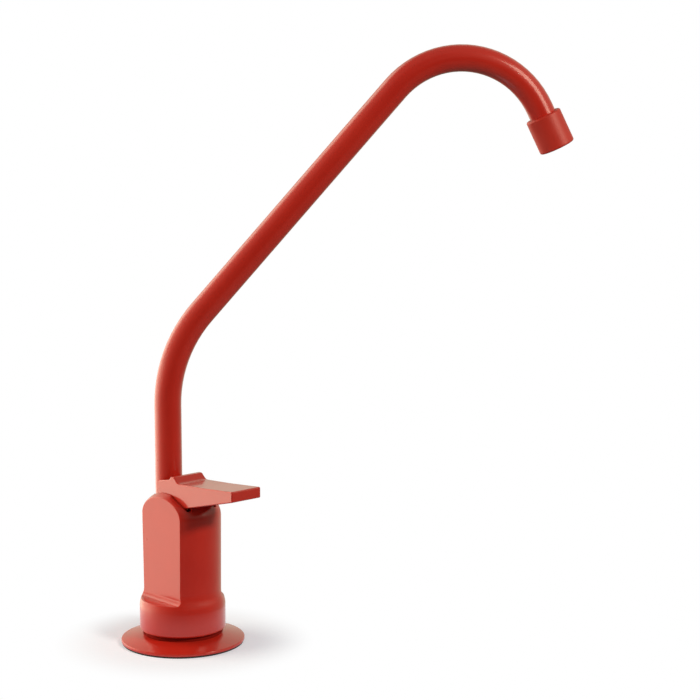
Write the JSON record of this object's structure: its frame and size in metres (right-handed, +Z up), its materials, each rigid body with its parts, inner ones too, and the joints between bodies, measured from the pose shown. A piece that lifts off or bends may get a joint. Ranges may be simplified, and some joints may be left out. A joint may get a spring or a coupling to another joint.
{
  "type": "drinking water faucet",
  "caption": "Deck faucet for drinking water: round base, column with milled flats, thumb lever between arched ears, swivelling gooseneck spout with an outlet collar, and a threaded shank.",
  "frame": {"origin": "centre of the shank in the plane of the sink deck, which is the underside of the base gasket", "axes": "+Z up along the column, -Y from the column towards the lever's tip, +X to the right of someone facing the lever"},
  "size_m": [0.1674, 0.1262, 0.3174],
  "materials": {
    "red_metal": "gloss metallic red",
    "brass": "machined",
    "steel": "plain",
    "rubber": "matt black",
    "plastic": "off-white moulded"
  },
  "bodies": {
    "base": {"base_gasket": "rubber", "base_plate": "red_metal", "body_gasket": "rubber", "faucet_body": "red_metal", "gallery_plug": "brass", "pivot_pin": "steel", "valve_sleeve": "brass", "sleeve_seals": "rubber", "valve_gland": "brass", "packing_washer": "brass", "gland_packing": "plastic", "return_spring": "steel", "spout_bushing": "plastic", "spout_clip": "steel", "threaded_shank": "brass", "shank_seal": "rubber", "deck_washer": "plastic", "plate_washer": "steel", "lock_washer": "steel", "mounting_nut": "brass", "inlet_ferrule": "brass", "inlet_nut": "brass"},
    "spout": {"spout_tube": "red_metal", "spout_fitting": "brass", "spout_seals": "rubber", "outlet_adapter": "brass", "aerator_washer": "rubber", "aerator_cage": "plastic", "aerator_screens": "steel", "outlet_collar": "red_metal"},
    "lever": {"lever": "red_metal"},
    "stem": {"valve_stem": "brass", "stem_seal": "rubber", "stem_pin": "steel"}
  },
  "joints": [
    {"name": "spout_swivel", "type": "hinge", "parent": "base", "child": "spout", "pos_m": [0, 0.0085, 0.0405], "axis": [0, 0, 1], "continuous": true},
    {"name": "lever_tilt", "type": "hinge", "parent": "base", "child": "lever", "pos_m": [0, -0.0006, 0.057], "axis": [-1, 0, 0], "range_deg": [-5, 10], "stiffness_Nm_per_rad": 0.6},
    {"name": "stem_slide", "type": "slide", "parent": "base", "child": "stem", "axis": [0, 0, 1], "range_m": [-0.0007, 0.0014], "deforming": ["return_spring"]}
  ],
  "couplings": [
    {"joint": "stem_slide", "follows": "lever_tilt", "m_per_rad": 0.0074}
  ]
}
